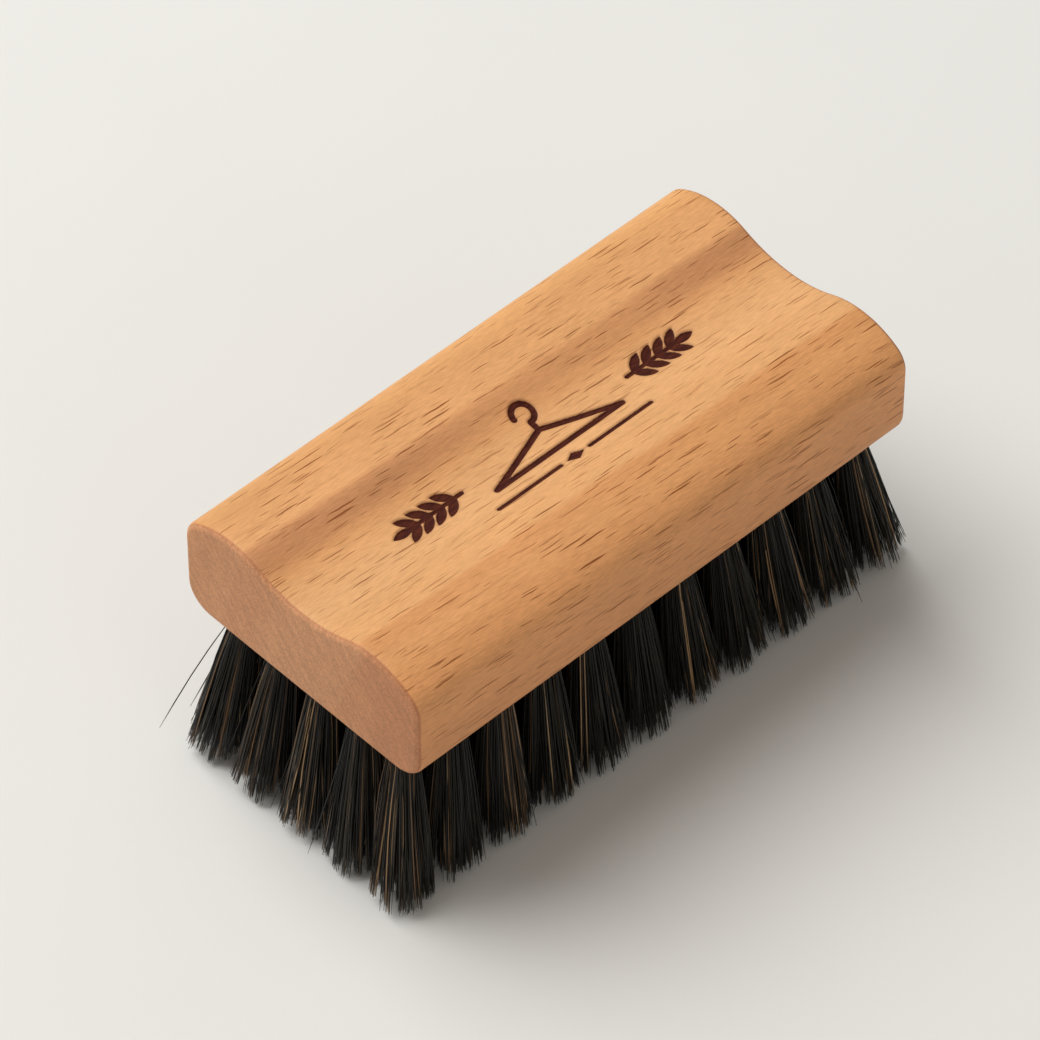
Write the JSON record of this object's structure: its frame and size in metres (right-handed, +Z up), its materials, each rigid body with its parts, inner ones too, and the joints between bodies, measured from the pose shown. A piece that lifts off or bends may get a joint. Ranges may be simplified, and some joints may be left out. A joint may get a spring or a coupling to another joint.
{
  "type": "clothes brush",
  "caption": "Hand brush with a rectangular wooden block, two rounded finger ridges over a shallow valley, and rows of fanned hair tufts anchored in drilled holes.",
  "frame": {"origin": "middle of the plane of the bristle tips, on which the brush stands", "axes": "+X along the length of the brush, +Y across it, +Z up from the bristle tips to the finger ridges"},
  "size_m": [0.1184, 0.055, 0.0551],
  "materials": {
    "beech": "oiled, fine sanded",
    "horsehair": "natural hair, black with some brown",
    "anchor_wire": "flat drawn wire"
  },
  "bodies": {
    "root": {"handle_block": "beech", "tuft_anchors": "anchor_wire", "tuft_r1_c01": "horsehair", "tuft_r1_c02": "horsehair", "tuft_r1_c03": "horsehair", "tuft_r1_c04": "horsehair", "tuft_r1_c05": "horsehair", "tuft_r1_c06": "horsehair", "tuft_r1_c07": "horsehair", "tuft_r1_c08": "horsehair", "tuft_r1_c09": "horsehair", "tuft_r1_c10": "horsehair", "tuft_r1_c11": "horsehair", "tuft_r2_c01": "horsehair", "tuft_r2_c02": "horsehair", "tuft_r2_c03": "horsehair", "tuft_r2_c04": "horsehair", "tuft_r2_c05": "horsehair", "tuft_r2_c06": "horsehair", "tuft_r2_c07": "horsehair", "tuft_r2_c08": "horsehair", "tuft_r2_c09": "horsehair", "tuft_r2_c10": "horsehair", "tuft_r2_c11": "horsehair", "tuft_r3_c01": "horsehair", "tuft_r3_c02": "horsehair", "tuft_r3_c03": "horsehair", "tuft_r3_c04": "horsehair", "tuft_r3_c05": "horsehair", "tuft_r3_c06": "horsehair", "tuft_r3_c07": "horsehair", "tuft_r3_c08": "horsehair", "tuft_r3_c09": "horsehair", "tuft_r3_c10": "horsehair", "tuft_r3_c11": "horsehair", "tuft_r4_c01": "horsehair", "tuft_r4_c02": "horsehair", "tuft_r4_c03": "horsehair", "tuft_r4_c04": "horsehair", "tuft_r4_c05": "horsehair", "tuft_r4_c06": "horsehair", "tuft_r4_c07": "horsehair", "tuft_r4_c08": "horsehair", "tuft_r4_c09": "horsehair", "tuft_r4_c10": "horsehair", "tuft_r4_c11": "horsehair", "tuft_r5_c01": "horsehair", "tuft_r5_c02": "horsehair", "tuft_r5_c03": "horsehair", "tuft_r5_c04": "horsehair", "tuft_r5_c05": "horsehair", "tuft_r5_c06": "horsehair", "tuft_r5_c07": "horsehair", "tuft_r5_c08": "horsehair", "tuft_r5_c09": "horsehair", "tuft_r5_c10": "horsehair", "tuft_r5_c11": "horsehair"}
  },
  "joints": []
}
